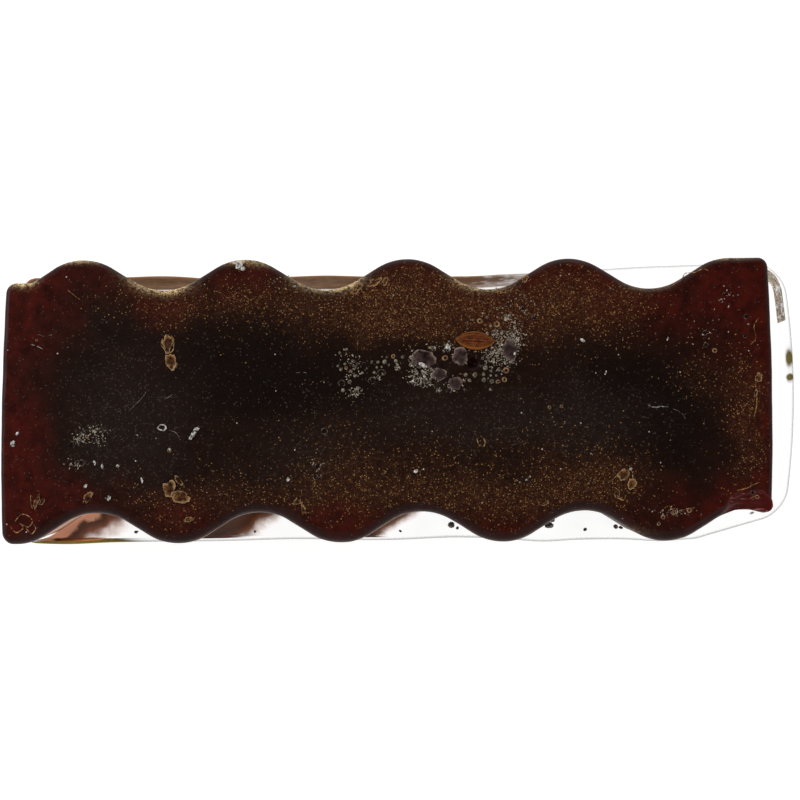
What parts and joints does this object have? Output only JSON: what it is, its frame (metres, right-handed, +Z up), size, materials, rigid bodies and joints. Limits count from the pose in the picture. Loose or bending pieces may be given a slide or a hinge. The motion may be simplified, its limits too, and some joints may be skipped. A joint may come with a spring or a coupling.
{
  "type": "rosin cake",
  "caption": "Cast cake of dark bow rosin with wavy long sides, standing loose in a thin clear liner tray with a finger gap at one end.",
  "frame": {"origin": "on the underside of the liner tray, at the middle of its straight walls", "axes": "+X runs along the cake towards the finger gap, +Y to the side where the tray splays out, +Z up through the rubbing face"},
  "size_m": [0.0745, 0.0269, 0.0188],
  "materials": {
    "rosin": "dark red-brown cast rosin, glossy on broken and rounded edges, dusty on the rubbing face",
    "clear_liner": "thin clear film",
    "husk": "dry ribbed husk",
    "clear_crumb": "glassy broken grains",
    "amber_flake": "thin curled skin",
    "dark_crumb": "glossy broken crumbs",
    "residue": "dried dusty smear"
  },
  "bodies": {
    "tray": {"liner_tray": "clear_liner", "tray_crumbs": "dark_crumb", "wall_residue": "residue"},
    "cake": {"rosin_cake": "rosin", "seed_husk": "husk", "clear_crumbs": "clear_crumb", "amber_flakes": "amber_flake"}
  },
  "joints": [
    {"name": "cake_lift", "type": "slide", "parent": "tray", "child": "cake", "axis": [0, 0, 1], "range_m": [0, 0.012]}
  ]
}
